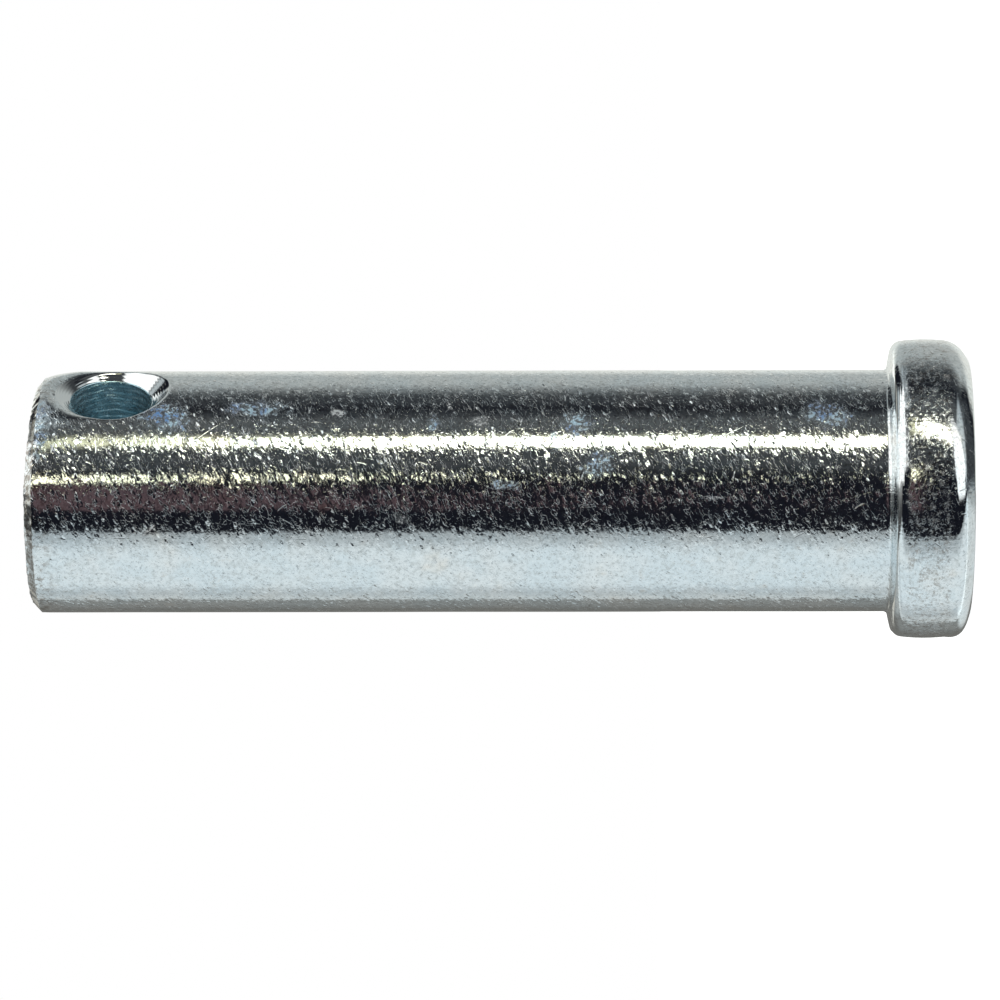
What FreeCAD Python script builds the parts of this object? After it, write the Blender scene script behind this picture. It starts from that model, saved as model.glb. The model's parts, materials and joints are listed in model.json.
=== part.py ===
import FreeCAD, Part
import math
import os

# Clevis pin, cold headed from round steel wire and drilled across near its tip.
# The pin stands on its head: +Z runs from the head to the tip, and the origin is
# the centre of the head's outer face. The cross hole runs along Y. All sizes are
# in millimetres.

# Shank
SHANK_DIAMETER = 12.5
GRIP_LENGTH = 44.45
TIP_CHAMFER = 0.45

# Head
HEAD_DIAMETER = 15.65
HEAD_HEIGHT = 3.97
HEAD_EDGE_RADIUS = 1.5
SEAT_EDGE_RADIUS = 0.45
NECK_RADIUS = 0.5

# Cross hole for the cotter, with the same countersink at both mouths
HOLE_DIAMETER = 4.15
HOLE_TO_TIP = 4.3
COUNTERSINK_DEPTH = 0.88
COUNTERSINK_ANGLE = 90.0
MOUTH_BLEND_RADIUS = 0.12

# Drills start this far outside the metal, so that a cut never ends on its surface
DRILL_OVERSHOOT = 1.0

# Two points nearer to each other than this are the same point
SAME_POINT = 1e-6

SHANK_RADIUS = SHANK_DIAMETER / 2
HEAD_RADIUS = HEAD_DIAMETER / 2
HOLE_RADIUS = HOLE_DIAMETER / 2
OVERALL_LENGTH = HEAD_HEIGHT + GRIP_LENGTH
HOLE_HEIGHT = OVERALL_LENGTH - HOLE_TO_TIP

ORIGIN = FreeCAD.Vector(0, 0, 0)
PIN_AXIS = FreeCAD.Vector(0, 0, 1)
HOLE_AXIS = FreeCAD.Vector(0, 1, 0)
FULL_TURN = 360


def in_section(radius, height):
    """A point of the turned section, in the XZ plane."""
    return FreeCAD.Vector(radius, 0, height)


def corner_arc(centre, radius, start_angle, end_angle):
    """A round of the turned section. Angles are in degrees, from +X towards +Z."""
    middle_angle = (start_angle + end_angle) / 2
    points = []
    for angle in (start_angle, middle_angle, end_angle):
        turn = math.radians(angle)
        offset = in_section(radius * math.cos(turn), radius * math.sin(turn))
        points.append(centre + offset)
    return Part.Arc(*points).toShape()


def joined_section(edges):
    """Close the gaps between rounds with straight lines, in order, and make a face."""
    outline = []
    for edge, following in zip(edges, edges[1:] + edges[:1]):
        outline.append(edge)
        end = edge.lastVertex(True).Point
        start = following.firstVertex(True).Point
        if end.distanceToPoint(start) > SAME_POINT:
            outline.append(Part.makeLine(end, start))
    return Part.Face(Part.Wire(outline))


def make_blank():
    """The headed blank: half its section, turned once round the pin's axis.

    The outer face runs into a generous round, the rim is straight, and the seat
    under the head runs through a small neck fillet into the shank.
    """
    axis_line = Part.makeLine(in_section(0, OVERALL_LENGTH), in_section(0, 0))
    outer_round = corner_arc(
        in_section(HEAD_RADIUS - HEAD_EDGE_RADIUS, HEAD_EDGE_RADIUS),
        HEAD_EDGE_RADIUS, -90, 0,
    )
    seat_round = corner_arc(
        in_section(HEAD_RADIUS - SEAT_EDGE_RADIUS, HEAD_HEIGHT - SEAT_EDGE_RADIUS),
        SEAT_EDGE_RADIUS, 0, 90,
    )
    neck_fillet = corner_arc(
        in_section(SHANK_RADIUS + NECK_RADIUS, HEAD_HEIGHT + NECK_RADIUS),
        NECK_RADIUS, 270, 180,
    )
    tip_chamfer = Part.makeLine(
        in_section(SHANK_RADIUS, OVERALL_LENGTH - TIP_CHAMFER),
        in_section(SHANK_RADIUS - TIP_CHAMFER, OVERALL_LENGTH),
    )
    section = joined_section([axis_line, outer_round, seat_round, neck_fillet, tip_chamfer])
    return section.revolve(ORIGIN, PIN_AXIS, FULL_TURN)


def make_drill():
    """What the drill and the countersink take away, along Y at the hole's height."""
    reach = SHANK_RADIUS + DRILL_OVERSHOOT
    centre = FreeCAD.Vector(0, 0, HOLE_HEIGHT)
    drill = Part.makeCylinder(HOLE_RADIUS, 2 * reach, centre - HOLE_AXIS * reach, HOLE_AXIS)
    sink_length = COUNTERSINK_DEPTH + DRILL_OVERSHOOT
    flare = math.tan(math.radians(COUNTERSINK_ANGLE / 2))
    mouth_radius = HOLE_RADIUS + sink_length * flare
    for direction in (-HOLE_AXIS, HOLE_AXIS):
        sink_floor = centre + direction * (SHANK_RADIUS - COUNTERSINK_DEPTH)
        sink = Part.makeCone(HOLE_RADIUS, mouth_radius, sink_length, sink_floor, direction)
        drill = drill.fuse(sink)
    return drill


def mouth_edges(drilled):
    """The two ridges where the countersinks break out through the round shank."""
    ridges = []
    for edge in drilled.Edges:
        surfaces = [face.Surface for face in drilled.ancestorsOfType(edge, Part.Face)]
        cones = [surface for surface in surfaces if isinstance(surface, Part.Cone)]
        walls = [surface for surface in surfaces if isinstance(surface, Part.Cylinder)]
        sinks = [cone for cone in cones if cone.Axis.cross(HOLE_AXIS).Length < SAME_POINT]
        shank = [wall for wall in walls if abs(wall.Radius - SHANK_RADIUS) < SAME_POINT]
        if sinks and shank:
            ridges.append(edge)
    return ridges


def make_clevis_pin():
    """Head, shank and chamfered tip in one piece, drilled, with its ridges eased."""
    drilled = make_blank().cut(make_drill())
    return drilled.makeFillet(MOUTH_BLEND_RADIUS, mouth_edges(drilled))


def main():
    os.makedirs("parts", exist_ok=True)
    pin = make_clevis_pin()
    pin.exportStep("parts/clevis_pin.step")
    box = pin.optimalBoundingBox(False, False)
    print(f"clevis_pin: valid {pin.isValid()}, solids {len(pin.Solids)}")
    print(f"volume {pin.Volume:.1f} mm3, box {box.XLength:.2f} x {box.YLength:.2f} x {box.ZLength:.2f} mm")


main()
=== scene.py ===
# %% [markdown]
# # A zinc-plated clevis pin
#
# A clevis pin is a short steel pin with a flat head. It drops through the two ears
# of a clevis and the eye of a rod between them, and a cotter through the hole near
# its tip keeps it there. It is made from round wire: the head is struck cold, the
# shank is cropped to length, and the cross hole is drilled and countersunk. Then a
# drum of pins is tumbled clean and plated with bright zinc.
#
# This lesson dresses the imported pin: a fine mesh with the marks of that life on it,
# a zinc finish made of nodes, and a small studio whose lights the metal shows.
# The pin stands on its head at the origin, and its axis is Z.

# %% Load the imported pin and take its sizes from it
import json
import math

import bmesh
import bpy
from mathutils import Matrix, Vector, noise


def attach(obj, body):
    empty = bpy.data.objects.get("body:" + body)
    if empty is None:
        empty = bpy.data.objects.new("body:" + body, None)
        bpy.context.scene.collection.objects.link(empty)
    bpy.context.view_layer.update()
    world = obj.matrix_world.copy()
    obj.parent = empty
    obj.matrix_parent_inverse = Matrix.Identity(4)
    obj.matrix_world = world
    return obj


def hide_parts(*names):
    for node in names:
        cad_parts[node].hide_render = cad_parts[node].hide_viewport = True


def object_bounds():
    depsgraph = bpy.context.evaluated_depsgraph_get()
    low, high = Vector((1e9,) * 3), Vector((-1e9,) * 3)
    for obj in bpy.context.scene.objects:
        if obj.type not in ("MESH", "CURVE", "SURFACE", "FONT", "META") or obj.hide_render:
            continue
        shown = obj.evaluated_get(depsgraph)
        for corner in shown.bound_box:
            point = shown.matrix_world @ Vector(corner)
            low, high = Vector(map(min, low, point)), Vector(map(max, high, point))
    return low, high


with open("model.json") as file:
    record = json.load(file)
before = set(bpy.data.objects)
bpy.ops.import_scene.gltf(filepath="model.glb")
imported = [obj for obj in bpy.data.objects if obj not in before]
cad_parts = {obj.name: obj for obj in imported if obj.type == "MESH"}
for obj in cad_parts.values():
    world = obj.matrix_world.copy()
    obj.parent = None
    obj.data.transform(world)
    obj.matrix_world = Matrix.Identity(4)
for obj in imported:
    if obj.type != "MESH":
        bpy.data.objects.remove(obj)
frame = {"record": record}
cad_low, cad_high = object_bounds()

MM = 0.001
mounts = {mount["name"]: mount for mount in frame["record"]["mounts"]}
shank_radius = mounts["shank"]["dims"]["r_mm"] * MM
hole_radius = mounts["cotter_hole"]["dims"]["r_mm"] * MM
bore_reach = mounts["cotter_hole"]["dims"]["length_mm"] * MM / 2
hole_height = mounts["cotter_hole"]["pos_m"][2]
head_height = mounts["head_seat"]["pos_m"][2]
head_radius = cad_high[0]
tip_height = cad_high[2]
print(f"shank {2 * shank_radius / MM:.2f} mm thick, pin {tip_height / MM:.2f} mm long")
hole_to_tip = tip_height - hole_height
print(f"cross hole {2 * hole_radius / MM:.2f} mm, {hole_to_tip / MM:.2f} mm from the tip")

# %% [markdown]
# ## Which way the pin faces
#
# Two directions across the pin are used all through the lesson: the one towards the
# lens, and the one that is up in the picture. The pin lies across the picture with
# its head at the right, so the picture's right is the pin's -Z. The mouth of the
# cross hole is at -Y, turned 59.5 degrees up from the lens.

# %% Directions across the pin
MOUTH_TURN = math.radians(59.5)
MOUTH_SIDE = Vector((0, -1, 0))
PIN_AXIS = Vector((0, 0, 1))

lens_side = Matrix.Rotation(-MOUTH_TURN, 3, PIN_AXIS) @ MOUTH_SIDE
upper_side = Matrix.Rotation(math.radians(90), 3, PIN_AXIS) @ lens_side
print("towards the lens", lens_side[:], "up in the picture", upper_side[:])

# %% [markdown]
# ## The section
#
# Headed and turned parts are round, so their whole form is one half section. It
# starts as six corners joined by straight lines. Each corner is then rounded to its
# own radius by a vertex bevel, which on a flat outline draws a true arc: generous at
# the head's outer face, where the wire filled the die, and small elsewhere. The
# seat under the head rises a little towards the neck. The alternative is to bevel
# the rings after the spin, but then the bevels meet quads of many sizes and a change
# of one radius disturbs its neighbours.

# %% Draw the half section and round its corners
HEAD_EDGE = 1.28 * MM
SEAT_EDGE = 0.40 * MM
SEAT_RISE = 0.26 * MM
NECK_FILLET = 0.2 * MM
TIP_CHAMFER = 0.45 * MM

pin = bmesh.new()
corners = {
    "face centre": (0, 0),
    "head edge": (head_radius, 0),
    "seat edge": (head_radius, head_height),
    "neck": (shank_radius, head_height + SEAT_RISE),
    "tip edge": (shank_radius, tip_height),
    "tip centre": (0, tip_height),
}
points = {name: pin.verts.new((radius, 0, height)) for name, (radius, height) in corners.items()}
names = list(corners)
for start, end in zip(names, names[1:]):
    pin.edges.new((points[start], points[end]))

ROUNDS = [
    ("head edge", HEAD_EDGE, 12),
    ("seat edge", SEAT_EDGE, 5),
    ("neck", NECK_FILLET, 6),
    ("tip edge", TIP_CHAMFER, 1),
]
for name, radius, segments in ROUNDS:
    bmesh.ops.bevel(
        pin, geom=[points[name]], offset=radius, offset_type="OFFSET",
        segments=segments, profile=0.5, affect="VERTICES", material=-1,
    )
print(f"section: {len(pin.verts)} points")

# %% [markdown]
# ## Rings enough to carry the marks
#
# Cropping, drilling and knocking about in the drum moved the metal by tenths of a
# millimetre, and those moves need points to act on. The long straight lines of the
# section are cut into short ones before the spin: about 0.17 mm on the shank, which
# shows its dents, and coarser on the flat faces.

# %% Cut the section, then spin it round
SHANK_SPACING = 0.17 * MM
FACE_SPACING = 0.4 * MM
STEPS_AROUND = 240
HAIR = MM / 100
MERGE_WITHIN = MM / 1000

for edge in pin.edges[:]:
    middle = (edge.verts[0].co + edge.verts[1].co) / 2
    on_shank = abs(middle.x - shank_radius) < HAIR
    spacing = SHANK_SPACING if on_shank else FACE_SPACING
    cuts = round(edge.calc_length() / spacing) - 1
    if cuts > 0:
        bmesh.ops.subdivide_edges(pin, edges=[edge], cuts=cuts)
print(f"section cut into {len(pin.edges)} lines")

bmesh.ops.spin(
    pin, geom=pin.verts[:] + pin.edges[:], cent=(0, 0, 0), axis=PIN_AXIS,
    angle=2 * math.pi, steps=STEPS_AROUND, use_merge=True,
)
bmesh.ops.remove_doubles(pin, verts=pin.verts, dist=MERGE_WITHIN)
print(f"blank: {len(pin.faces)} faces")

# %% [markdown]
# ## Room for the mouths of the cross hole
#
# A drill that enters a round shank meets it in a saddle-shaped ridge. A boolean cut
# would leave long thin faces there, and they shade badly on bright metal. So a
# window of faces is taken out round each mouth, and its border is extruded inward
# ring by ring. Every ring keeps the directions of the border's points about the
# hole's axis, and its height comes from the two surfaces that meet: the round of the
# shank and the cone of the countersink.

# %% Open a window round each mouth
WINDOW_ACROSS = 3.0 * MM
WINDOW_ALONG = 3.3 * MM


def in_window(face):
    centre = face.calc_center_median()
    beside = abs(centre.x) < WINDOW_ACROSS and abs(centre.z - hole_height) < WINDOW_ALONG
    return beside and abs(centre.y) > shank_radius / 2


bmesh.ops.delete(pin, geom=[face for face in pin.faces if in_window(face)], context="FACES")
border = [edge for edge in pin.edges if edge.is_boundary]
across_reach = max(vert.co.x for edge in border for vert in edge.verts)
along_reach = max(vert.co.z for edge in border for vert in edge.verts) - hole_height
tip_gap = along_reach
head_gap = hole_height - min(vert.co.z for edge in border for vert in edge.verts)
print(f"windows {2 * across_reach / MM:.2f} mm across, {(tip_gap + head_gap) / MM:.2f} mm along")

# %% [markdown]
# ## Where the cone meets the shank
#
# The countersink was cut by hand after the drilling: it sits 0.1 mm nearer to the
# head than the bore. Its ridge is crisp on the side of the head and worn round on
# the side of the tip. Both come from one rule: a point's height is the lower of the
# two surfaces, blended over a distance that grows towards the tip.

# %% Surfaces at the mouth
SINK_SHIFT = 0.10 * MM
CRISP_BLEND = 0.12 * MM
WORN_BLEND = 0.9 * MM
WORN_FROM, WORN_RAMP = 0.2, 0.7
SEARCH_END = shank_radius * 0.7
HALVINGS = 30


def shank_depth(across):
    return math.sqrt(shank_radius ** 2 - across ** 2)


def sink_depth(across, along):
    return bore_reach + math.hypot(across, along + SINK_SHIFT) - hole_radius


def worn(along, reach):
    """How far a direction leans to the tip, from 0 to 1."""
    lean = min(max((along / reach - WORN_FROM) / WORN_RAMP, 0), 1)
    return lean * lean * (3 - 2 * lean)


def mouth_depth(across, along):
    """Height of the drilled surface over the hole's middle, with its ridge eased."""
    reach = max(math.hypot(across, along), hole_radius)
    blend = CRISP_BLEND + (WORN_BLEND - CRISP_BLEND) * worn(along, reach)
    outside, inside = shank_depth(across), sink_depth(across, along)
    overlap = max(blend - abs(outside - inside), 0) / blend
    return min(outside, inside) - overlap ** 2 * blend / 4


def ridge_reach(across, along):
    """Distance from the bore's axis to the ridge, in this direction."""
    near, far = hole_radius, SEARCH_END
    for _ in range(HALVINGS):
        middle = (near + far) / 2
        inside = sink_depth(across * middle, along * middle)
        if inside < shank_depth(across * middle):
            near = middle
        else:
            far = middle
    return near


ridge_across, ridge_headward = ridge_reach(1, 0), ridge_reach(0, -1)
print(f"ridge {ridge_across / MM:.2f} mm out across, {ridge_headward / MM:.2f} mm towards the head")

# %% Extrude the borders in to the edge of the bore
APPROACH_RINGS = 6
RIDGE_RINGS = [1.1, 0.75, 0.5, 0.3, 0.15, 0, -0.15, -0.3, -0.5, -0.75, -1.1]
CONE_RINGS = 4
RIDGE_HALF = 0.14 * MM
# The rings by the ridge keep to these shares of the room outside and inside it
ROOM_OUTSIDE, ROOM_INSIDE = 0.6, 0.8
NEARLY_ZERO = 1e-9


def border_reach(across, along):
    """Distance from the bore's axis to the window's border, in this direction."""
    gap = tip_gap if along > 0 else head_gap
    reaches = []
    if abs(across) > NEARLY_ZERO:
        reaches.append(across_reach / abs(across))
    if abs(along) > NEARLY_ZERO:
        reaches.append(gap / abs(along))
    return min(reaches)


def ring_reaches(across, along):
    """Distances of every ring from the bore's axis, from the border inward."""
    start, ridge = border_reach(across, along), ridge_reach(across, along)
    room_outside, room_inside = (start - ridge) * ROOM_OUTSIDE, (ridge - hole_radius) * ROOM_INSIDE
    half = min(RIDGE_HALF, room_outside, room_inside)
    outer, inner = ridge + half * RIDGE_RINGS[0], ridge + half * RIDGE_RINGS[-1]
    approach, cone = outer - start, hole_radius - inner
    reaches = [start + approach * step / APPROACH_RINGS for step in range(1, APPROACH_RINGS)]
    reaches += [ridge + half * share for share in RIDGE_RINGS]
    return reaches + [inner + cone * step / CONE_RINGS for step in range(1, CONE_RINGS + 1)]


def sink_mouth(side):
    """Extrude one window's border down to the bore; return the bore's edge."""
    ring = [edge for edge in pin.edges if edge.is_boundary and edge.verts[0].co.y * side > 0]
    directions = {}
    for count in range(APPROACH_RINGS - 1 + len(RIDGE_RINGS) + CONE_RINGS):
        made = bmesh.ops.extrude_edge_only(pin, edges=ring)["geom"]
        fresh = [item for item in made if isinstance(item, bmesh.types.BMVert)]
        ring = [item for item in made if isinstance(item, bmesh.types.BMEdge) and item.is_boundary]
        for vert in fresh:
            across, along = vert.co.x, vert.co.z - hole_height
            length = math.hypot(across, along)
            across, along = across / length, along / length
            key = round(math.atan2(along, across), 5)
            if key not in directions:
                directions[key] = ring_reaches(across, along)
            reach = directions[key][count]
            depth = mouth_depth(across * reach, along * reach)
            vert.co = (across * reach, side * depth, hole_height + along * reach)
    return ring


mouth_edges = [edge for side in (-1, 1) for edge in sink_mouth(side)]
print(f"mouths sunk, bore edges have {len(mouth_edges)} sides")

# %% [markdown]
# ## The bore
#
# The two edges of the bore are bridged with long faces, and those are cut across so
# that the wall can carry its drilling marks. The worn ridge reaches a little way
# past the windows, so the shank beside them is lowered by the same rule.

# %% Bridge the mouths and ease the shank beside them
BORE_CUTS = 34
EASED_ACROSS = 1.4 * WINDOW_ACROSS

bridge = bmesh.ops.bridge_loops(pin, edges=mouth_edges)
cross_edges = [edge for edge in bridge["edges"] if edge.verts[0].co.y * edge.verts[1].co.y < 0]
twist = max(abs(edge.verts[0].co.z - edge.verts[1].co.z) for edge in cross_edges)
bmesh.ops.subdivide_edges(pin, edges=cross_edges, cuts=BORE_CUTS, use_grid_fill=True)

for vert in pin.verts:
    across, along = vert.co.x, vert.co.z - hole_height
    beside = abs(across) < EASED_ACROSS and 0 < along < hole_to_tip - TIP_CHAMFER / 2
    if beside and abs(vert.co.xy.length - shank_radius) < HAIR:
        vert.co.y = math.copysign(mouth_depth(across, along), vert.co.y)

bmesh.ops.recalc_face_normals(pin, faces=pin.faces)
loose = [edge for edge in pin.edges if not edge.is_manifold]
print(f"{len(pin.faces)} faces, bridge twist {twist / MM:.3f} mm, open edges {len(loose)}")

# %% [markdown]
# ## Four finishes on one piece
#
# The pin is one solid, but its skin has four histories: the drawn and tumbled shank,
# the struck head, the drilled wall and the cropped end. Each face is given to one of
# them now, while the form is still exact. A fifth pass then moves the points.

# %% Give each face to its finish
SKIN, HEAD, DRILLED, CROPPED = range(4)


def finish_of(face):
    centre = face.calc_center_median()
    across, along = centre.x, centre.z - hole_height
    reach = math.hypot(across, along)
    near_hole = reach < ridge_reach(across / reach, along / reach)
    if near_hole and centre.xy.length < shank_radius - HAIR and centre.z < tip_height - MM:
        return DRILLED
    if centre.z < head_height + NECK_FILLET / 2:
        return HEAD
    if centre.z > tip_height - TIP_CHAMFER * 0.9:
        return CROPPED
    return SKIN


for face in pin.faces:
    face.material_index = finish_of(face)
    face.smooth = True
print("drilled faces:", sum(face.material_index == DRILLED for face in pin.faces))

# %% [markdown]
# ## What the crop and the die left
#
# The blade that cropped the wire dragged one side of the end down, so the tip is a
# third of a millimetre short there and its edge is rolled over. The whole end is a
# little domed too. The head was struck a little off the shank's axis: its rim is
# bellied, and its lower corner is fuller where the wire filled the die. The drum
# nicked the edge of the tip all round. None of this shows in a perfect solid, and
# all of it shows on bright metal, so the points are moved by smooth rules of their
# place.

# %% Roll the cropped end over and set the head off centre
CROP_DROP = 0.33 * MM
CROP_DOME = 0.07 * MM
CROP_START = 0.5 * MM
CROP_FADE = 2.1 * MM
CROP_FACE_FADE = 1.2 * MM
HEAD_OFFSET = 0.10 * MM
RIM_MIDDLE = 2.3 * MM
RIM_BARREL = 0.11 * MM
RIM_HALF = 1.5 * MM
DIE_FILL = 0.26 * MM
NICK_DEPTH = 0.07 * MM
NICK_SIZE = 0.40 * MM
NICK_BELOW = (0.8 * MM, 0.3 * MM)
NICK_REACH = (shank_radius - 0.9 * MM, shank_radius - 0.5 * MM)
WAVE_HEIGHT = 0.006 * MM
WAVE_SIZE = 4 * MM


def share_of(value, start, end):
    return min(max((value - start) / (end - start), 0), 1)


def worked(point):
    """Where cropping, heading and tumbling moved a point of the true form."""
    radial = Vector((point.x, point.y, 0))
    radius = radial.length
    if radius < HAIR:
        return point
    outward = radial / radius
    depth = tip_height - point.z
    lean = max(outward.dot(upper_side), 0)
    fullness = radius / shank_radius
    sag = CROP_DROP * lean ** 2 * share_of(depth, CROP_START + CROP_FADE, CROP_START) ** 1.5
    low = (CROP_DROP * lean + CROP_DOME * fullness) * fullness
    short = low * share_of(depth, CROP_FACE_FADE, 0)
    moved = point - outward * sag * fullness ** 2 - PIN_AXIS * short
    on_edge = share_of(depth, *NICK_BELOW) * share_of(radius, *NICK_REACH)
    nick = abs(noise.noise(point / NICK_SIZE)) + 0.5 * abs(noise.noise(point / (0.4 * NICK_SIZE)))
    moved -= (outward + PIN_AXIS) * nick * NICK_DEPTH * on_edge
    in_head = share_of(radius, shank_radius + NECK_FILLET / 2, shank_radius + NECK_FILLET)
    in_head *= share_of(point.z, head_height + NECK_FILLET, head_height)
    moved += (upper_side - outward) * HEAD_OFFSET * in_head
    on_rim = share_of(radius, head_radius - HEAD_EDGE, head_radius - HEAD_EDGE / 2)
    moved -= outward * RIM_BARREL * on_rim * ((point.z - RIM_MIDDLE) / RIM_HALF) ** 2 * in_head
    corner = math.sin(math.pi * share_of(point.z, 0, HEAD_EDGE)) * on_rim
    moved += (outward - PIN_AXIS) * DIE_FILL * corner * max(-outward.dot(upper_side), 0) / 2
    wave = noise.noise(point / WAVE_SIZE) - 1
    return moved + outward * wave * WAVE_HEIGHT * fullness


for vert in pin.verts:
    vert.co = worked(vert.co)
print("upper corner of the tip lowered by", CROP_DROP / MM, "mm")

# %% [markdown]
# ## Dents
#
# Pins strike each other in the plating drum, edge against side, and leave small
# crescents and flats. The larger ones are real dents in the mesh: each is a smooth
# hollow at a height above the head's face and a turn up from the lens.

# %% Strike the dents
# height mm, turn degrees, half length mm, half width mm, tilt degrees, depth mm
DENTS = [
    (32.36, 39.7, 0.50, 0.36, 15, 0.020),
    (26.71, 44.0, 0.16, 0.34, -20, 0.018),
    (43.95, 18.5, 0.40, 0.10, 52, 0.016),
    (46.65, -0.5, 0.09, 0.26, -10, 0.012),
    (41.95, -18.4, 0.55, 0.12, -43, 0.022),
    (37.68, 5.4, 0.40, 0.36, 0, 0.014),
    (12.07, 10.6, 0.55, 0.14, 35, 0.012),
    (24.00, -14.0, 0.35, 0.25, 20, 0.010),
    (9.80, 118.0, 0.60, 0.30, -35, 0.020),
    (21.50, 171.0, 0.45, 0.35, 20, 0.018),
    (30.20, -128.0, 0.70, 0.22, 50, 0.020),
    (38.40, -160.0, 0.30, 0.50, 10, 0.018),
]
# Points farther from a dent along the pin, in mm, or nearer to its axis, as a share
# of the radius, aren't part of it
DENT_REACH, SKIN_FROM = 1.5, 0.97


def unrolled(point):
    turn = math.atan2(point.dot(upper_side), point.dot(lens_side))
    return point.z / MM, turn * shank_radius / MM


def strike(height, turn, length, width, tilt, depth):
    """Push the skin in where a dent is; return how many points moved."""
    middle = math.radians(turn) * shank_radius / MM
    lean = math.radians(tilt)
    moved = 0
    for vert in pin.verts:
        on_skin = vert.co.xy.length >= shank_radius * SKIN_FROM
        if abs(vert.co.z / MM - height) > DENT_REACH or not on_skin:
            continue
        along, around = unrolled(vert.co)
        along, around = along - height, around - middle
        main = (along * math.cos(lean) + around * math.sin(lean)) / length
        side = (around * math.cos(lean) - along * math.sin(lean)) / width
        away = main * main + side * side
        if away < 1:
            inward = Vector((vert.co.x, vert.co.y, 0)).normalized()
            vert.co -= inward * depth * MM * (1 - away) ** 2
            moved += 1
    return moved


print("points moved by each dent:", [strike(*dent) for dent in DENTS])

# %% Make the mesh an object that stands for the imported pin
CREASE_ANGLE = math.radians(35)

pin_mesh = bpy.data.meshes.new("zinc_pin")
pin.to_mesh(pin_mesh)
pin.free()
pin_mesh.set_sharp_from_angle(angle=CREASE_ANGLE)
zinc_pin = bpy.data.objects.new("zinc_pin", pin_mesh)
bpy.context.scene.collection.objects.link(zinc_pin)
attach(zinc_pin, "root")
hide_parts("clevis_pin")
triangles = sum(len(polygon.vertices) - 2 for polygon in pin_mesh.polygons)
print(f"zinc_pin: {triangles} triangles")

# %% [markdown]
# ## Writing nodes as sums
#
# A finish is a sum of many small patterns, and sums read best as sums. The class
# below wraps one output socket, and plain arithmetic on it adds the Math nodes. Every
# other node is added by one method of the bench, which takes the node's type, its
# settings and the values or links of its sockets.


# %% A bench for node trees
class Wire:
    """An output socket; arithmetic on it adds Math nodes."""

    def __init__(self, bench, socket):
        self.bench = bench
        self.socket = socket

    def __add__(self, other):
        return self.bench.maths("ADD", self, other)

    def __radd__(self, other):
        return self.bench.maths("ADD", other, self)

    def __sub__(self, other):
        return self.bench.maths("SUBTRACT", self, other)

    def __rsub__(self, other):
        return self.bench.maths("SUBTRACT", other, self)

    def __mul__(self, other):
        return self.bench.maths("MULTIPLY", self, other)

    def __rmul__(self, other):
        return self.bench.maths("MULTIPLY", other, self)

    def __abs__(self):
        return self.bench.maths("ABSOLUTE", self)

    def most(self, other):
        return self.bench.maths("MAXIMUM", self, other)

    def least(self, other):
        return self.bench.maths("MINIMUM", self, other)

    def step(self, start, end):
        """Rise smoothly from 0 at start to 1 at end; start may be the larger."""
        values = {"Value": self, "From Min": start, "From Max": end}
        return self.bench.add("ShaderNodeMapRange", {"interpolation_type": "SMOOTHSTEP"}, values)


class Bench:
    """A node tree that is being wired."""

    def __init__(self, tree):
        self.tree = tree
        tree.nodes.clear()

    def add(self, kind, settings=None, values=None, out=0):
        """Add a node: settings first, then its sockets. Returns one output, or several."""
        node = self.tree.nodes.new(kind)
        for name, setting in (settings or {}).items():
            setattr(node, name, setting)
        for key, value in (values or {}).items():
            socket = self.find(node.inputs, key)
            if isinstance(value, Wire):
                self.tree.links.new(value.socket, socket)
            else:
                socket.default_value = value
        if isinstance(out, tuple):
            return [Wire(self, self.find(node.outputs, key)) for key in out]
        return Wire(self, self.find(node.outputs, out)) if node.outputs else node

    def find(self, sockets, key):
        matches = [socket for socket in sockets if socket.identifier == key]
        return matches[0] if matches else sockets[key]

    def maths(self, operation, *terms):
        return self.add("ShaderNodeMath", {"operation": operation}, dict(enumerate(terms)))

    def hypot(self, first, second):
        square = first * first + second * second
        return self.maths("SQRT", square)

    def blend(self, share, first, second):
        """Mix two colours by a share from 0 to 1."""
        values = {"Factor_Float": share, "A_Color": first, "B_Color": second}
        settings = {"data_type": "RGBA", "clamp_factor": True}
        return self.add("ShaderNodeMix", settings, values, out="Result_Color")

    def dot(self, first, second):
        settings = {"operation": "DOT_PRODUCT"}
        return self.add("ShaderNodeVectorMath", settings, {0: first, 1: second}, out="Value")

    def plus(self, first, second):
        return self.add("ShaderNodeVectorMath", {"operation": "ADD"}, {0: first, 1: second})

    def minus(self, first, second):
        return self.add("ShaderNodeVectorMath", {"operation": "SUBTRACT"}, {0: first, 1: second})

    def scaled(self, vector, factor):
        settings = {"operation": "SCALE"}
        return self.add("ShaderNodeVectorMath", settings, {0: vector, "Scale": factor})

    def noise(self, vector, scale, detail=2.0, roughness=0.5):
        """Soft noise from 0 to 1; scale is in waves to the millimetre."""
        values = {"Vector": vector, "Scale": scale, "Detail": detail, "Roughness": roughness}
        return self.add("ShaderNodeTexNoise", {"noise_dimensions": "3D"}, values)


print("bench ready")

# %% [markdown]
# ## Two maps of the pin
#
# Patterns need a place to be read from. Grain and pits are the same in all
# directions, so they read the object's own coordinates, turned to millimetres.
# Scratches, dents and stains lie on the round skin, so they read it unrolled: the
# height above the head's face, and the way round from the side of the lens. The
# seam of that map is then at the back.


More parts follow.
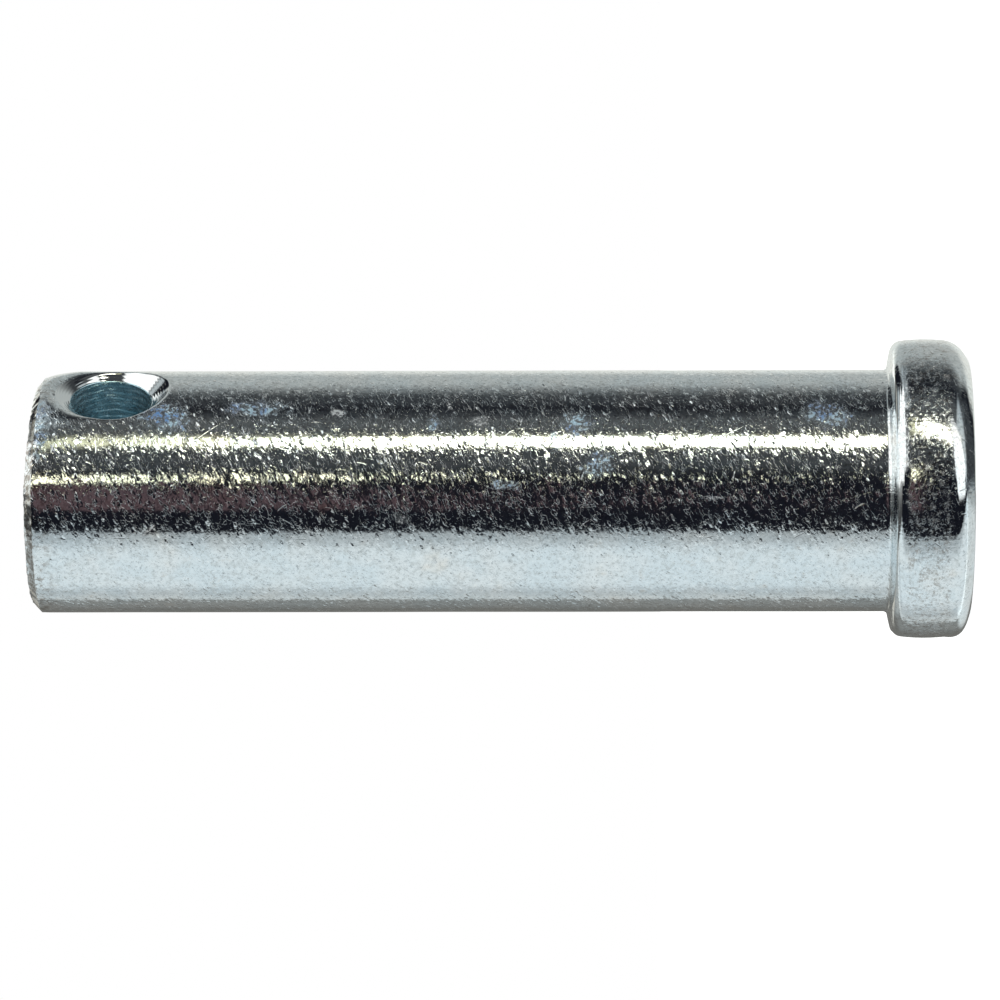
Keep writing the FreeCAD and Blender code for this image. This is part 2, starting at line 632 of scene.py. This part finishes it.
# %% Coordinates in millimetres
class PinBench(Bench):
    """A material's tree with the pin's two maps laid out."""

    def __init__(self, material):
        material.use_nodes = True
        super().__init__(material.node_tree)
        place = self.add("ShaderNodeTexCoord", {}, {}, out="Object")
        self.solid = self.scaled(place, 1 / MM)
        toward = self.dot(self.solid, lens_side)
        upward = self.dot(self.solid, upper_side)
        around = self.maths("ARCTAN2", upward, toward) * (shank_radius / MM)
        self.height = self.dot(self.solid, PIN_AXIS)
        self.radius = self.hypot(toward, upward)
        self.skin = self.add("ShaderNodeCombineXYZ", {}, {"X": self.height, "Y": around})

    def patch(self, height, turn, length, width, tilt):
        """How far a point is from a spot's middle, as a share of the spot's size."""
        values = {
            "Vector": self.skin,
            "Location": (height, math.radians(turn) * shank_radius / MM, 0),
            "Rotation": (0, 0, math.radians(tilt)),
            "Scale": (length, width, 1),
        }
        local = self.add("ShaderNodeMapping", {"vector_type": "TEXTURE"}, values)
        return self.add("ShaderNodeVectorMath", {"operation": "LENGTH"}, {0: local}, out="Value")

    def cells(self, place, density, outputs):
        """A flat pattern of random cells."""
        values = {"Vector": place, "Scale": density, "Randomness": 1.0}
        settings = {"voronoi_dimensions": "2D", "feature": "F1"}
        return self.add("ShaderNodeTexVoronoi", settings, values, out=outputs)


print("maps laid out")

# %% [markdown]
# ## Marks that are strewn
#
# A tumbled pin has thousands of small marks, and no two are alike. A Voronoi pattern
# deals them out: every cell has a middle and three random numbers of its own, its
# lot. Read from the middle, the lot tilts a small flat or turns a short stroke. This
# way costs a few nodes, where a painted picture would need one pixel for each mark.


# %% Flats and strokes
class MarkBench(PinBench):
    """The pin's bench with the marks of the drum."""

    def facets(self, place, density, rarity=4):
        """Small flats with their own tilts, most of them faint and a few steep."""
        outputs = ("Distance", "Position", "Color")
        distance, centre, lot = self.cells(place, density, outputs)
        away = self.minus(place, centre)
        tilt = self.minus(lot, (0.5, 0.5, 0.5))
        size = self.add("ShaderNodeSeparateColor", {}, {"Color": lot}, out="Blue")
        steepness = self.maths("POWER", size, rarity)
        return self.dot(away, tilt) * steepness * distance.step(0.85, 0.35)

    def strokes(self, density, length, width, share, bend):
        """Short strokes strewn over the skin, one to a cell, as depths from 0 to 1."""
        centre, lot = self.cells(self.skin, density, ("Position", "Color"))
        lots = ("Red", "Green", "Blue")
        first, second, third = self.add("ShaderNodeSeparateColor", {}, {"Color": lot}, out=lots)
        values = {"Vector": self.minus(self.skin, centre), "Angle": (first - 0.5) * math.pi}
        turned = self.add("ShaderNodeVectorRotate", {"rotation_type": "Z_AXIS"}, values)
        along, side = self.add("ShaderNodeSeparateXYZ", {}, {"Vector": turned}, out=("X", "Y"))
        bow = side + along * along * bend
        thin = abs(bow).step(width, width * 0.2)
        short = abs(along).step(length, length * 0.6)
        return thin * short * second.step(1 - share, 1.0) * (third * 0.7 + 0.3)


print("marks ready")

# %% [markdown]
# ## Bright zinc
#
# Bright zinc is a mirror with a fine grain. It is a little bluish where the clear
# passivation is thin and powdery where it dried in drops, so a stain is rougher and
# less of a metal than its surroundings. It drifts slowly from cool to warm and is
# full of fine grey specks, which keep it from looking like chrome. Each finish is
# made by one function from its own relief in millimetres, its stains and its tint;
# the bump is what breaks the edges of the reflections.

# %% The common recipe
ZINC = (0.800, 0.830, 0.835, 1)
ZINC_WARM = (0.835, 0.800, 0.745, 1)
ZINC_COOL = (0.745, 0.812, 0.842, 1)
BLUE_STAIN = (0.500, 0.730, 0.880, 1)
DEEP_BLUE = (0.170, 0.340, 0.640, 1)
ZINC_GREY = (0.520, 0.540, 0.530, 1)
ZINC_LIGHT = (0.900, 0.920, 0.910, 1)
ZINC_BROWN = (0.620, 0.560, 0.490, 1)
ZINC_DARK = (0.360, 0.390, 0.410, 1)
GREY_BLOOM = (0.560, 0.590, 0.600, 1)
PIT_BROWN = (0.300, 0.270, 0.240, 1)
# What a full scuff, stain or bloom adds to the roughness
SCUFF_DULL, STAIN_DULL, BLOOM_DULL = 0.185, 0.18, 0.25
# How much of the metal a full stain or bloom hides
STAIN_COVER, BLOOM_COVER = 0.6, 0.8


def plate(bench, relief, roughness, scuff, stain, bloom, tint, blue=BLUE_STAIN):
    """Join relief, scuffs, stains and tint into the zinc shader of this tree."""
    colour = bench.blend(stain, tint, blue)
    colour = bench.blend(bloom, colour, GREY_BLOOM)
    metal = 1 - (stain * STAIN_COVER).most(bloom * BLOOM_COVER)
    dull = roughness + scuff * SCUFF_DULL + stain * STAIN_DULL + bloom * BLOOM_DULL
    normal = bench.add("ShaderNodeBump", {}, {"Strength": 1.0, "Distance": MM, "Height": relief})
    values = {"Base Color": colour, "Metallic": metal, "Roughness": dull, "Normal": normal}
    shader = bench.add("ShaderNodeBsdfPrincipled", {}, values)
    bench.add("ShaderNodeOutputMaterial", {}, {"Surface": shader})


def mottled(bench, scale):
    """The plating's slow drift from cool to warm, its specks and its brown haze."""
    drift = bench.noise(bench.solid, scale, 3.0, 0.6)
    tint = bench.blend(drift.step(0.35, 0.65), ZINC_COOL, ZINC)
    tint = bench.blend(drift.step(0.62, 0.78), tint, ZINC_WARM)
    flecked = bench.noise(bench.solid, 3.6, 4.0, 0.75)
    tint = bench.blend(flecked.step(0.47, 0.66) * 0.60, tint, ZINC_GREY)
    tint = bench.blend(flecked.step(0.46, 0.28) * 0.70, tint, ZINC_LIGHT)
    specks = bench.noise(bench.solid, 6.0, 3.0, 0.8).step(0.56, 0.66)
    tint = bench.blend(specks * 0.70, tint, ZINC_DARK)
    browned = bench.noise(bench.solid, 1.1, 5.0, 0.7).step(0.60, 0.74)
    return bench.blend(browned * 0.45, tint, ZINC_BROWN)


# %% [markdown]
# ## The shank's skin
#
# The wire was drawn, then tumbled with thousands of others. Its grain leans a little,
# long fine scratches cross it, and short strokes lie everywhere, thickest in the
# middle. Dirt sits in the pits and round the tip. The stains are pale blue where the
# passivation dried thin and deep blue where it pooled. Stains and blooms, which are
# the powdery bruises, have their places in two lists: height above the head's face
# and turn up from the lens.

# %% Places of the stains and blooms
# height mm, turn degrees, half length mm, half width mm, tilt degrees, strength
STAINS = [
    (41.20, 38.5, 1.50, 0.95, 20, 1.00),
    (36.50, 43.0, 1.80, 0.60, 0, 0.85),
    (27.50, 33.1, 0.40, 0.50, 0, 0.85),
    (20.20, 34.0, 0.85, 0.75, -10, 0.90),
    (21.30, 24.0, 0.30, 0.60, 0, 0.60),
    (19.10, 12.5, 0.95, 0.70, -20, 0.85),
    (23.82, 2.8, 0.80, 0.28, 10, 0.80),
    (7.46, 38.0, 1.40, 0.90, 15, 0.85),
    (47.60, 33.0, 0.55, 2.20, 0, 0.60),
    (16.00, 150.0, 1.60, 0.90, 25, 0.60),
    (33.00, -140.0, 1.20, 1.10, -15, 0.60),
]
BLOOMS = [
    (32.36, 39.7, 0.45, 0.32, 15, 0.80),
    (26.71, 44.0, 0.14, 0.30, -20, 0.90),
    (25.10, 34.8, 0.45, 0.40, 0, 0.70),
    (46.20, 16.5, 0.45, 0.16, 0, 0.80),
    (43.95, 18.5, 0.36, 0.06, 52, 1.00),
    (41.95, -18.4, 0.52, 0.08, -43, 1.00),
    (29.16, -12.6, 0.45, 0.30, 25, 0.50),
    (13.16, -3.4, 0.55, 0.10, -4, 0.80),
    (11.00, 112.0, 0.70, 0.35, 30, 0.60),
    (28.00, -100.0, 0.50, 0.40, 0, 0.60),
]
SPOT_EDGE = (1.15, 0.45)


def spots(bench, table, ragged):
    """Add up the spots of a table, with ragged edges."""
    total = None
    for height, turn, length, width, tilt, strength in table:
        away = bench.patch(height, turn, length, width, tilt) + ragged
        spot = away.step(*SPOT_EDGE) * strength
        total = spot if total is None else total.most(spot)
    return total


print(len(STAINS), "stains and", len(BLOOMS), "blooms")

# %% Skin
GRAIN_LEAN = math.radians(62)
GRAIN_STRETCH = 2.2
FINE_DEPTH, BOLD_DEPTH, LONG_DEPTH, PIT_DEPTH = 0.0030, 0.006, 0.003, 0.006
GRIME_START, GRIME_FULL = tip_height / MM - 1.82, tip_height / MM - 0.62


def make_skin():
    skin = bpy.data.materials.new("zinc_skin")
    bench = MarkBench(skin)
    bent = bench.add(
        "ShaderNodeTexNoise", {"noise_dimensions": "3D"},
        {"Vector": bench.solid, "Scale": 4.5, "Detail": 2.0}, out="Color",
    )
    bent = bench.plus(bench.skin, bench.scaled(bent, 0.16))
    drawn = bench.add(
        "ShaderNodeMapping", {"vector_type": "TEXTURE"},
        {"Vector": bent, "Rotation": (0, 0, GRAIN_LEAN), "Scale": (GRAIN_STRETCH, 1, 1)},
    )
    crowd = bench.noise(bench.solid, 0.16, 2.0, 0.5).step(0.35, 0.65)
    patchy = bench.noise(bench.solid, 1.3, 3.0, 0.65).step(0.35, 0.65)
    # Flats to the millimetre, then how rare the steep ones are
    flats = bench.facets(drawn, 6.5, 2) * (0.10 + patchy * 0.12)
    broad = bench.facets(drawn, 2.6, 2) * 0.06
    steep = bench.facets(drawn, 8.5, 10) * 0.5
    grain = flats + broad + steep + bench.noise(bench.solid, 7.0, 2.0, 0.6) * 0.0010
    # Strokes to the millimetre, half length and width in mm, share of cells with one
    fine = bench.strokes(4.2, 0.09, 0.034, 0.7, bend=0.6)
    bold = bench.strokes(1.3, 0.34, 0.035, 0.35, bend=0.35)
    long = bench.strokes(0.30, 2.2, 0.022, 0.4, bend=0.02)
    pits = bench.add(
        "ShaderNodeTexVoronoi", {"voronoi_dimensions": "3D", "feature": "F1"},
        {"Vector": bench.solid, "Scale": 3.0, "Randomness": 1.0}, out=("Distance", "Color"),
    )
    chosen = bench.add("ShaderNodeSeparateColor", {}, {"Color": pits[1]}, out="Red")
    pit = pits[0].step(0.17, 0.05) * chosen.step(0.40, 0.90)
    relief = grain - fine * FINE_DEPTH - bold * BOLD_DEPTH - long * LONG_DEPTH - pit * PIT_DEPTH
    rubbed = bench.noise(drawn, 5.2, 3.0, 0.75).step(0.54, 0.68)
    scuff = rubbed * (0.20 + crowd * 0.50) + fine * (0.3 + crowd * 0.6)
    scuff = (scuff + bold + long * 0.5).least(1.2)
    ragged = (bench.noise(bench.solid, 2.4, 4.0, 0.75) - 0.5) * 2.2
    speckle = bench.noise(bench.solid, 4.5, 3.0, 0.7).step(0.47, 0.58)
    stain = spots(bench, STAINS, ragged) * (speckle * 0.85 + 0.15)
    bloom = spots(bench, BLOOMS, ragged * 0.5) * (speckle * 0.75 + 0.15)
    bloom = bloom.most(fine * 0.06 + bold * 0.20)
    roughness = 0.055 + patchy * 0.025
    grime = bench.noise(bench.solid, 2.8, 4.0, 0.75).step(0.48, 0.60)
    grime = grime * bench.height.step(GRIME_START, GRIME_FULL)
    tint = bench.blend((pit * 0.75).most(grime * 0.8), mottled(bench, 0.35), PIT_BROWN)
    pale = bench.noise(bench.solid, 0.9, 2.0, 0.5).step(0.42, 0.54)
    blue = bench.blend(pale, DEEP_BLUE, BLUE_STAIN)
    plate(bench, relief, roughness, scuff, stain, bloom, tint, blue)
    return skin


zinc_skin = make_skin()
print("skin:", len(zinc_skin.node_tree.nodes), "nodes")

# %% [markdown]
# ## The head
#
# The die touched the head's outer rounding and its seat, and made them smooth. The
# rim between them was free to bulge, so it kept a pitted, crackled skin, and the
# border between the two is jagged. Dirt has stayed in the crackle.

# %% Head
RIM_OUTER = 1.05
RIM_SEAT = 3.58


def make_head():
    head = bpy.data.materials.new("zinc_head")
    bench = MarkBench(head)
    wander = (bench.noise(bench.solid, 1.6, 3.0, 0.7) - 0.5) * 0.7
    level = bench.height + wander
    pitted = level.step(RIM_OUTER, RIM_OUTER + 0.3) * level.step(RIM_SEAT, RIM_SEAT - 0.2)
    pitted = pitted * bench.radius.step(shank_radius / MM + 0.9, shank_radius / MM + 1.1)
    crackle = bench.noise(bench.solid, 2.6, 4.0, 0.65) * 0.007
    rubbed = bench.noise(bench.solid, 4.6, 4.0, 0.75).step(0.54, 0.66)
    flats = bench.facets(bench.skin, 5.2, 2) * (0.06 + pitted * 0.12)
    smooth_grain = bench.noise(bench.solid, 5.0, 3.0, 0.6) * 0.001 + flats
    fine = bench.strokes(2.2, 0.22, 0.04, 0.5, bend=0.3)
    relief = pitted * (crackle + rubbed * 0.004) + smooth_grain - fine * 0.005
    scuff = pitted * rubbed * 0.45 + fine * 0.4
    stain = bench.noise(bench.solid, 0.9, 4.0, 0.7).step(0.62, 0.8) * 0.4
    bloom = fine * 0.2 + pitted * bench.noise(bench.solid, 2.2, 4.0, 0.7).step(0.5, 0.75) * 0.30
    dirt = pitted * bench.noise(bench.solid, 4.0, 4.0, 0.8).step(0.51, 0.62)
    tint = bench.blend(dirt * 0.65, mottled(bench, 0.5), PIT_BROWN)
    plate(bench, relief, 0.06 + pitted * 0.02, scuff, stain, bloom, tint)
    return head


zinc_head = make_head()
print("head:", len(zinc_head.node_tree.nodes), "nodes")

# %% [markdown]
# ## The drilled wall
#
# The drill's lips leave rings along the bore. The plating inside is thin, so the wall
# is more blue than the skin, and its colour is also darkened as painted shade of the
# bore. The countersink was cut with a sharp tool and is the smoothest surface of the pin.

# %% Drilled wall
RING_PITCH = 0.36
SINK_PITCH = 0.13
BORE_BLUE_AND_SHADE = (0.360, 0.520, 0.560, 1)


def make_drilled():
    wall = bpy.data.materials.new("zinc_drilled")
    bench = MarkBench(wall)
    deep = bench.dot(bench.solid, tuple(MOUTH_SIDE))
    beside = bench.dot(bench.solid, (1, 0, 0))
    level = bench.height - hole_height / MM
    reach = bench.hypot(beside, level)
    in_bore = reach.step(hole_radius / MM + 0.06, hole_radius / MM + 0.01)
    wobble = bench.noise(bench.solid, 0.8, 2.0, 0.5) * 0.5
    torn = bench.noise(bench.solid, 3.0, 3.0, 0.6)
    along_bore = (deep + wobble) * (2 * math.pi / RING_PITCH)
    across_sink = (reach + wobble * 0.1) * (2 * math.pi / SINK_PITCH)
    rings = bench.maths("SINE", along_bore) * 0.030 * torn + torn * 0.02
    chatter = bench.maths("SINE", across_sink) * 0.0038 * torn
    relief = in_bore * rings + (1 - in_bore) * chatter
    # The bore's tint is the thin plating's blue, darkened as painted shade of the recess
    tint = bench.blend(in_bore, ZINC, BORE_BLUE_AND_SHADE)
    roughness = 0.07 + in_bore * 0.13
    stain = in_bore * bench.noise(bench.solid, 1.5, 2.0, 0.5) * 0.5
    bloom = torn.step(0.7, 0.9) * 0.3
    plate(bench, relief, roughness, torn.step(0.55, 0.7) * 0.3, stain, bloom, tint)
    return wall


zinc_drilled = make_drilled()
print("drilled wall:", len(zinc_drilled.node_tree.nodes), "nodes")

# %% [markdown]
# ## The cropped end
#
# A sheared face has a bright burnished crescent where the blade entered, and torn
# metal with fine steps across the rest. Dirt has stayed in it and on its chamfer.

# %% Cropped end
TORN_REACH = (shank_radius - TIP_CHAMFER) / MM + 0.1
BLADE_LEAN = math.radians(32)


def make_cropped():
    cropped = bpy.data.materials.new("zinc_cropped")
    bench = MarkBench(cropped)
    stretched = bench.add(
        "ShaderNodeMapping", {"vector_type": "TEXTURE"},
        {"Vector": bench.solid, "Rotation": (0, 0, BLADE_LEAN), "Scale": (4, 1, 1)},
    )
    steps = bench.noise(stretched, 2.2, 4.0, 0.6)
    pits = bench.noise(bench.solid, 3.4, 4.0, 0.7)
    up = bench.dot(bench.solid, upper_side)
    torn = up.step(4.6, 3.2) * bench.radius.step(TORN_REACH, TORN_REACH - 0.25)
    relief = torn * (steps * 0.09 + pits * 0.03) + pits * 0.010
    stain = pits.step(0.6, 0.8) * 0.3
    bloom = torn * steps.step(0.5, 0.8) * 0.3
    dirt = bench.noise(bench.solid, 4.2, 4.0, 0.75).step(0.45, 0.55)
    tint = bench.blend(dirt * 0.85, mottled(bench, 0.5), PIT_BROWN)
    scuff = pits.step(0.5, 0.7) * (0.25 + torn * 0.5)
    plate(bench, relief, 0.07 + torn * 0.13, scuff, stain, bloom, tint)
    return cropped


zinc_cropped = make_cropped()
for material in (zinc_skin, zinc_head, zinc_drilled, zinc_cropped):
    pin_mesh.materials.append(material)
print("finishes on the pin:", [material.name for material in pin_mesh.materials])

# %% [markdown]
# ## The studio
#
# Bright metal shows its room, so the room is designed: a white sweep below and in
# front, a strip light above the lens, a pale wall behind and a dark opening round the
# lens itself. They could be lamps and cards, but the world shader draws them with no
# noise and no geometry. Each is a band of angles about the pin's axis, from the lens
# side up. A slope says how far a direction leans to the tip, or to the head where it
# is negative. Lights are added one upon another.


# %% A sky of bands
DARK = (0.009, 0.010, 0.015, 1)
BLUISH, CREAM, WHITE = (0.90, 0.98, 1.00), (1.00, 0.98, 0.88), (1.00, 1.00, 0.98)


class Sky(Bench):
    """A world's tree, with the direction of each ray and the light gathered so far."""

    def __init__(self, world):
        world.use_nodes = True
        super().__init__(world.node_tree)
        way = self.add("ShaderNodeTexCoord", {}, {}, out="Generated")
        self.toward, self.upward = self.dot(way, lens_side), self.dot(way, upper_side)
        self.angle = self.maths("ARCTAN2", self.upward, self.toward) * math.degrees(1)
        self.slope = self.maths("ARCSINE", self.dot(way, PIN_AXIS)) * math.degrees(1)
        self.light = self.add("ShaderNodeRGB", {}, {})
        self.light.socket.default_value = DARK

    def band(self, start, end, soft, turned=None):
        turned = turned or self.angle
        return turned.step(start - soft, start + soft) * turned.step(end + soft, end - soft)

    def shine(self, share, colour, strength):
        self.light = self.plus(self.light, self.scaled(colour, share * strength))


studio = bpy.data.worlds.new("studio")
sky = Sky(studio)
angle, slope, toward, upward = sky.angle, sky.slope, sky.toward, sky.upward
print("sky ready")

# %% Sweep, room and wall
# from degrees, to degrees, softness, colour, strength
SWEEP = [
    (-126, -39.3, 1.6, BLUISH, 0.50),
    (-108, -52, 10, BLUISH, 0.39),
    (-190, -118, 10, CREAM, 0.17),
    (-146, -118, 10, BLUISH, 0.10),
]
ROOM = [
    (20, 80, 9, (0.94, 1.00, 0.99), 0.055),
    (57, 74, 3, (0.97, 1.00, 0.95), 0.035),
    (90, 110, 6, (0.94, 1.00, 0.99), 0.040),
]
# from degrees, softness, colour, strength
WALL = [(114, 14, (0.95, 1.00, 0.97), 0.49), (152, 10, CREAM, 0.35)]

past_sweep = slope.step(62, 70) * upward.step(-0.36, -0.30)
for start, end, soft, colour, strength in SWEEP:
    sky.shine(sky.band(start, end, soft) * (1 - past_sweep), colour, strength)
for start, end, soft, colour, strength in ROOM:
    sky.shine(sky.band(start, end, soft), colour, strength)
wall_length = slope.step(-48, -38) * slope.step(34, 28)
for start, soft, colour, strength in WALL:
    sky.shine(angle.step(start - soft, start + soft) * wall_length, colour, strength)
print("sweep, room and wall:", len(studio.node_tree.nodes), "nodes")

# %% [markdown]
# ## The strip light
#
# The strip is many times brighter than white, because that is what makes scuffs
# sparkle on both sides of its reflection. It has a yellow halo. Towards the tip it
# grows dim and golden, and towards the head it hangs a little lower. Two bands
# under it belong to the tip's side alone: a thread of yellow, and a weak brown one
# whose upper edge drops towards the middle of the shank.

# %% Strip, halo, thread and brown band
STRIP = (43.5, 52.6, 0.8, (1.00, 0.985, 0.84), 6.5)
STRIP_END_COLOUR = (1.00, 0.97, 0.62, 1)
HALO = (41, 56, 1.2, (1.00, 0.96, 0.58), 0.26)
THREAD = (8.4, 15.4, 1.0, (1.00, 0.97, 0.70), 2.3)
BROWN = (-17.5, 6.5, 1.5, (1.00, 0.62, 0.63), 0.105)
BROWN_DROP = 14
# How much of the strip and of its halo is lost towards the tip
STRIP_LOSS, HALO_LOSS = 0.90, 0.50
# Where the strip starts to hang lower, and by what share of the slope past that
HANG_START, HANG = 0.8, 0.5

to_tip = slope.step(2.7, 4.3)
hung = angle - (slope + HANG_START).least(0) * HANG
strip_length = slope.step(-22, -17) * slope.step(14, 9)
start, end, soft, colour, strength = STRIP
golden = sky.blend(to_tip, (*colour, 1), STRIP_END_COLOUR)
share = sky.band(start, end, soft, hung) * strip_length * (1 - to_tip * STRIP_LOSS)
sky.shine(share, golden, strength)
start, end, soft, colour, strength = HALO
share = sky.band(start, end, soft, hung) * strip_length * (1 - to_tip * HALO_LOSS)
sky.shine(share, colour, strength)
start, end, soft, colour, strength = THREAD
sky.shine(sky.band(start, end, soft) * slope.step(4, 5) * slope.step(14, 11), colour, strength)
start, end, soft, colour, strength = BROWN
dropped = angle + slope.step(4.4, 3.2) * BROWN_DROP
share = angle.step(start - soft, start + soft) * dropped.step(end + soft, end - soft)
sky.shine(share * slope.step(1.5, 4.0) * slope.step(16, 10), colour, strength)
print("with the strip:", len(studio.node_tree.nodes), "nodes")

# %% [markdown]
# ## Cards past the ends
#
# Chamfers, roundings and the countersink look past the ends of the pin, where the
# bands stop. Each of them gets a card of its own, with soft edges, so that the tip's
# edge stays light above and falls off below, and the head has a white line down each
# of its roundings with a dark one beside it.

# %% Cards past the tip
past_tip = slope.step(60, 66)
under_tip = 1 - past_tip
by_tip = sky.band(16, 90, 5) * slope.step(16, 22)
over_tip = upward.step(0.02, 0.10) * slope.step(36, 42) * angle.step(112, 100)
fall = upward.step(-0.32, 0.34)
behind = abs(angle).step(156, 168) * slope.step(14, 20)
sky.shine(by_tip.most(over_tip).most(fall * fall * past_tip), WHITE, 1.30)
sky.shine(behind.most(angle.step(138, 150) * slope.step(40, 46)), CREAM, 0.50)
sky.shine(past_tip, CREAM, 0.06)
sky.shine(sky.band(112, 134, 4) * slope.step(44, 49) * under_tip, BLUISH, 0.55)
sky.shine(sky.band(66, 112, 6) * slope.step(8, 13) * slope.step(30, 22), BLUISH, 0.35)
sky.shine(sky.band(-158, -112, 8) * slope.step(24, 34) * under_tip, BLUISH, 0.22)
print("with the tip's cards:", len(studio.node_tree.nodes), "nodes")

# %% Cards past the head
slanted = (slope - angle * 0.5).step(-40, -46)
by_head = sky.band(-8, 55, 5) * slanted * slope.step(-12, -18) * slope.step(-83, -78)
past_head = slope.step(-48, -56) * upward.step(-0.02, 0.02)
level = upward.step(0.06, 0) * upward.step(-0.04, 0)
edge_head = toward.step(0, -0.20) * slope.step(-44, -54) * level
below_back = angle.step(-100, -125) * slope.step(-14, -24) * upward.step(0.02, -0.09)
sky.shine(by_head, WHITE, 1.30)
sky.shine(sky.band(55, 88, 8) * slope.step(-34, -42), BLUISH, 0.50)
sky.shine(below_back, BLUISH, 0.60)
sky.shine(past_head, BLUISH, 0.050)
sky.shine(edge_head, BLUISH, 0.20)
print("with the head's cards:", len(studio.node_tree.nodes), "nodes")

# %% [markdown]
# ## The backdrop
#
# Rays straight from the lens see plain white, so the backdrop stays clean whatever
# the metal mirrors.

# %% Hang the backdrop
seen = sky.add("ShaderNodeLightPath", {}, {}, out="Is Camera Ray")
lit = sky.add("ShaderNodeBackground", {}, {"Color": sky.light, "Strength": 1.0})
plain = sky.add("ShaderNodeBackground", {}, {"Color": (1, 1, 1, 1), "Strength": 1.0})
both = sky.add("ShaderNodeMixShader", {}, {0: seen, 1: lit, 2: plain})
sky.add("ShaderNodeOutputWorld", {}, {"Surface": both})
bpy.context.scene.world = studio
print("studio:", len(studio.node_tree.nodes), "nodes")

# %% [markdown]
# ## Floor, lens and colours
#
# The pin stands on a white table. The table lights itself a little, so that it stays
# as pale as the backdrop, and the metal doesn't mirror it, because the sweep already
# has its place in the room. The lens is long and close to level, 0.3 m away.

# %% Table
TABLE_SIZE = 2.0
TABLE_GLOW = 0.8
TABLE_GAP = 0.01 * MM

table_shape = bmesh.new()
bmesh.ops.create_grid(table_shape, x_segments=1, y_segments=1, size=TABLE_SIZE)
bmesh.ops.translate(table_shape, verts=table_shape.verts, vec=(0, 0, -TABLE_GAP))
table_mesh = bpy.data.meshes.new("table")
table_shape.to_mesh(table_mesh)
table_shape.free()
table = bpy.data.objects.new("table", table_mesh)
bpy.context.scene.collection.objects.link(table)
table.visible_glossy = False

paper = bpy.data.materials.new("white_table")
paper.use_nodes = True
paper_bench = Bench(paper.node_tree)
paper_values = {
    "Base Color": (0.8, 0.8, 0.8, 1), "Roughness": 0.9, "Specular IOR Level": 0.0,
    "Emission Color": (1, 1, 1, 1), "Emission Strength": TABLE_GLOW,
}
paper_shader = paper_bench.add("ShaderNodeBsdfPrincipled", {}, paper_values)
paper_bench.add("ShaderNodeOutputMaterial", {}, {"Surface": paper_shader})
table_mesh.materials.append(paper)

# %% Camera
LENS_MM = 207
SENSOR_MM = 36
LENS_AWAY = 297.6 * MM
LENS_HEIGHT = 17.95 * MM
LENS_BELOW = 0.455 * MM
LENS_YAW = math.radians(1.205)
LENS_ROLL = 0.0018

spot = PIN_AXIS * LENS_HEIGHT + lens_side * LENS_AWAY - upper_side * LENS_BELOW
backward = lens_side * math.cos(LENS_YAW) - PIN_AXIS * math.sin(LENS_YAW)
level_right = upper_side.cross(backward)
picture_right = level_right * math.cos(LENS_ROLL) - upper_side * math.sin(LENS_ROLL)
picture_up = backward.cross(picture_right)
stand = Matrix((picture_right, picture_up, backward)).transposed().to_4x4()
stand.translation = spot

lens = bpy.data.cameras.new("lens")
lens.lens = LENS_MM
lens.sensor_width = SENSOR_MM
lens.clip_start = 10 * MM
camera = bpy.data.objects.new("camera", lens)
camera.matrix_world = stand
bpy.context.scene.collection.objects.link(camera)
bpy.context.scene.camera = camera
bpy.context.scene.view_settings.view_transform = "Standard"
print("lens at", [round(value, 4) for value in spot], "picture right", picture_right[:])
